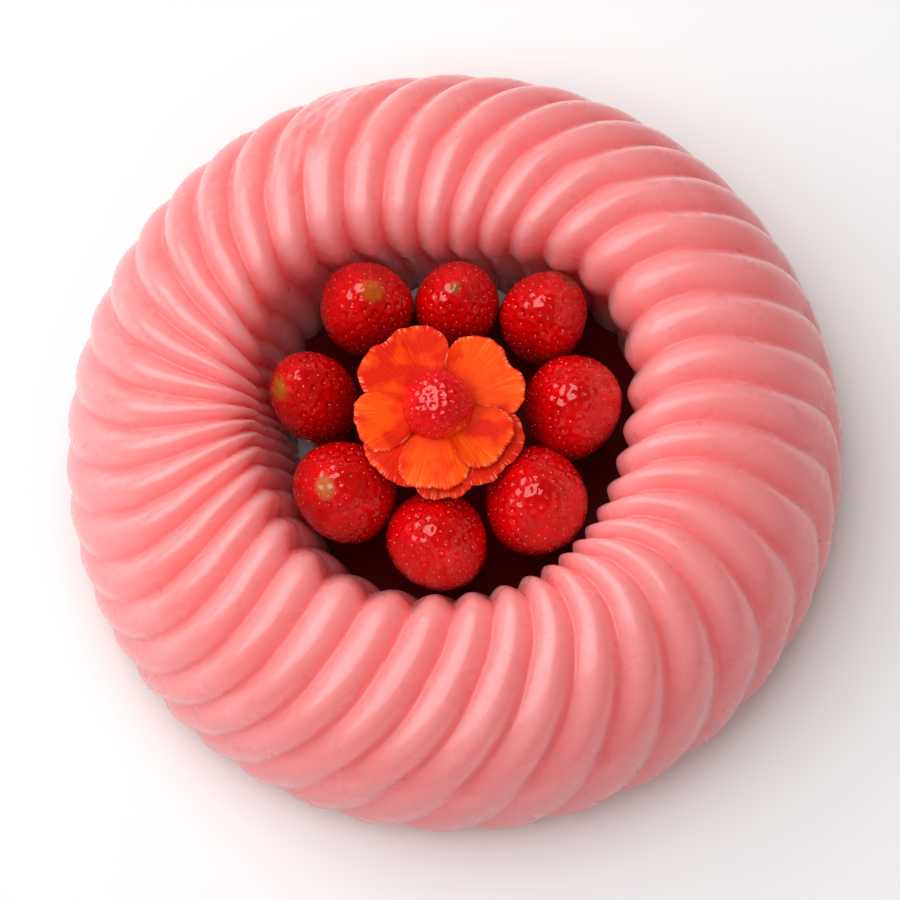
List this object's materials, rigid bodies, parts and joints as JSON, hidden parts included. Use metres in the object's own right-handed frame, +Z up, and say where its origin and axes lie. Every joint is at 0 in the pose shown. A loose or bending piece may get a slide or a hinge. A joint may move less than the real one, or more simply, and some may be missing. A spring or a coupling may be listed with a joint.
{
  "type": "strawberry jelly ring dessert",
  "caption": "Pink moulded jelly ring with slanting rounded flutes on a low plate, its hole filled with whole strawberries and a strawberry cut into a flower.",
  "frame": {"origin": "centre of the underside of the whole, on the surface that the plate stands on", "axes": "+Z up; the front, the side nearest the picture's camera, faces -Y; +X is to the right in the picture"},
  "size_m": [0.225, 0.2249, 0.0634],
  "materials": {
    "plate_glaze": "glazed pale grey porcelain",
    "pink_jelly": "wet, milky strawberry pink",
    "strawberry": "glazed deep red fruit",
    "strawberry_flesh": "moist orange-red cut fruit"
  },
  "bodies": {
    "root": {"plate": "plate_glaze", "jelly_ring": "pink_jelly", "strawberry_1": "strawberry", "strawberry_2": "strawberry", "strawberry_3": "strawberry", "strawberry_4": "strawberry", "strawberry_5": "strawberry", "strawberry_6": "strawberry", "strawberry_7": "strawberry", "strawberry_8": "strawberry", "strawberry_rose": "strawberry_flesh"}
  },
  "joints": []
}
